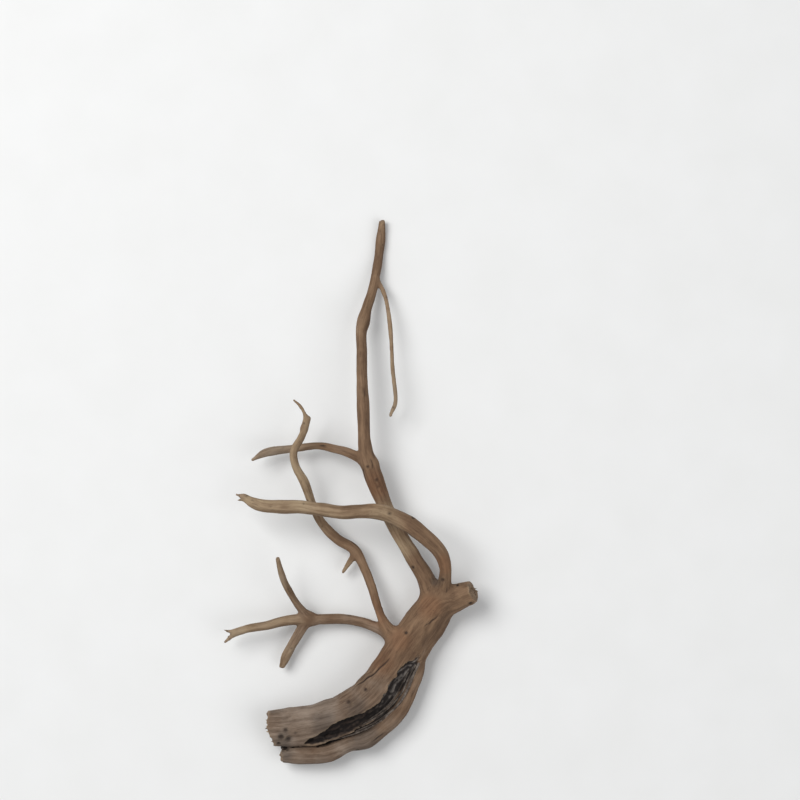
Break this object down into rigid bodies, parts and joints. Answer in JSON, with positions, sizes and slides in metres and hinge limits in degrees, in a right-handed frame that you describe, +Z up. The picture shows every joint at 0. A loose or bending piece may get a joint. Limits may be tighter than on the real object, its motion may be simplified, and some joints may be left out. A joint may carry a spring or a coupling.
{
  "type": "spiderwood root",
  "caption": "Branching spiderwood root lying down: a stout stump with a broken butt and wavy tapering legs that fork and split, for an aquarium or terrarium.",
  "frame": {"origin": "on the surface that the root lies on, under the middle of its outline", "axes": "+Z up, +Y along the long leg, away from the stump, +X to the right as seen from above with the long leg pointing away"},
  "size_m": [0.1056, 0.229, 0.0298],
  "materials": {
    "root_wood": "dry, matt, weathered grey-brown with orange patches"
  },
  "bodies": {
    "root": {"spiderwood_root": "root_wood"}
  },
  "joints": []
}
